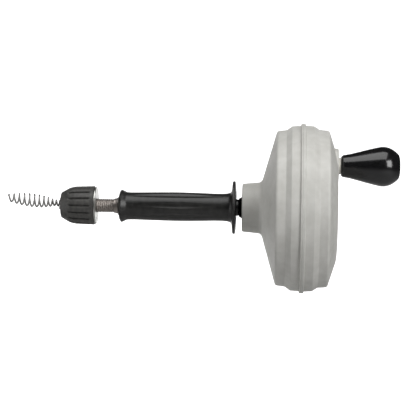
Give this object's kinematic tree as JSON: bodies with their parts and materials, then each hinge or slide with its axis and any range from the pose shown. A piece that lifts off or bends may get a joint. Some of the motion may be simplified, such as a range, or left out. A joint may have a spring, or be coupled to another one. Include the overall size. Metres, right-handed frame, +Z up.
{
  "type": "hand drum auger",
  "caption": "Hand-held drain snake: a coiled snake in a cranked drum, fed through a hollow spindle, hand grip and jaw chuck to a bulb auger.",
  "frame": {"origin": "on the spindle's axis at the middle of the hand grip", "axes": "+X along the spindle from the auger to the crank knob, +Z up, the crank knob resting above the axis"},
  "size_m": [0.3906, 0.1692, 0.1692],
  "materials": {
    "grip_vinyl": "soft satin",
    "black_acetal": "semi-gloss",
    "spindle_steel": "oiled machined thread",
    "plated_steel": "zinc plated",
    "chuck_steel": "machined",
    "screw_steel": "zinc plated",
    "blackened_steel": "black oxide",
    "drum_plastic": "fine matte grain",
    "white_nylon": "satin",
    "snake_wire": "drawn spring wire",
    "sleeve_plastic": "matte",
    "knob_plastic": "polished"
  },
  "bodies": {
    "grip": {"grip_handle": "grip_vinyl", "grip_liner": "black_acetal", "front_bush": "black_acetal", "rear_bush": "black_acetal"},
    "rotor": {"spindle_tube": "spindle_steel", "front_collar": "spindle_steel", "chuck_body": "chuck_steel", "chuck_back_plate": "plated_steel", "back_plate_screws": "screw_steel", "neck_flange_nut": "blackened_steel", "neck_washer": "plated_steel", "neck_lock_nut": "plated_steel", "drum_front_shell": "drum_plastic", "drum_rear_shell": "drum_plastic", "knob_bolt": "screw_steel", "knob_washer": "white_nylon", "bolt_washer": "plated_steel", "bolt_nut": "plated_steel", "snake_coil": "snake_wire", "snake_curve": "snake_wire", "snake_anchor": "chuck_steel", "anchor_screw": "screw_steel"},
    "chuck_sleeve": {"chuck_sleeve": "sleeve_plastic", "chuck_ring_nut": "chuck_steel"},
    "jaw_1": {"chuck_jaw_1": "chuck_steel"},
    "jaw_2": {"chuck_jaw_2": "chuck_steel"},
    "jaw_3": {"chuck_jaw_3": "chuck_steel"},
    "knob": {"crank_knob": "knob_plastic", "knob_bush": "white_nylon"},
    "snake_head": {"snake_lead": "snake_wire", "bulb_auger": "snake_wire"}
  },
  "joints": [
    {"name": "drum_spin", "type": "hinge", "parent": "grip", "child": "rotor", "pos_m": [0, 0, 0], "axis": [1, 0, 0], "continuous": true},
    {"name": "chuck_turn", "type": "hinge", "parent": "rotor", "child": "chuck_sleeve", "pos_m": [-0.1, 0, 0], "axis": [1, 0, 0], "range_deg": [0, 1440]},
    {"name": "jaw_1_slide", "type": "slide", "parent": "rotor", "child": "jaw_1", "axis": [0.9659, 0, 0.2588], "range_m": [0, 0.00564]},
    {"name": "jaw_2_slide", "type": "slide", "parent": "rotor", "child": "jaw_2", "axis": [0.9659, -0.2241, -0.1294], "range_m": [0, 0.00564]},
    {"name": "jaw_3_slide", "type": "slide", "parent": "rotor", "child": "jaw_3", "axis": [0.9659, 0.2241, -0.1294], "range_m": [0, 0.00564]},
    {"name": "knob_spin", "type": "hinge", "parent": "rotor", "child": "knob", "pos_m": [0.16405, -0.01279, 0.04262], "axis": [1, 0, 0], "continuous": true},
    {"name": "snake_feed", "type": "slide", "parent": "rotor", "child": "snake_head", "axis": [-1, 0, 0], "range_m": [0, 0.06]}
  ],
  "couplings": [
    {"joint": "chuck_turn", "follows": "jaw_1_slide", "rad_per_m": 4456.2},
    {"joint": "jaw_2_slide", "follows": "jaw_1_slide", "ratio": 1},
    {"joint": "jaw_3_slide", "follows": "jaw_1_slide", "ratio": 1}
  ]
}
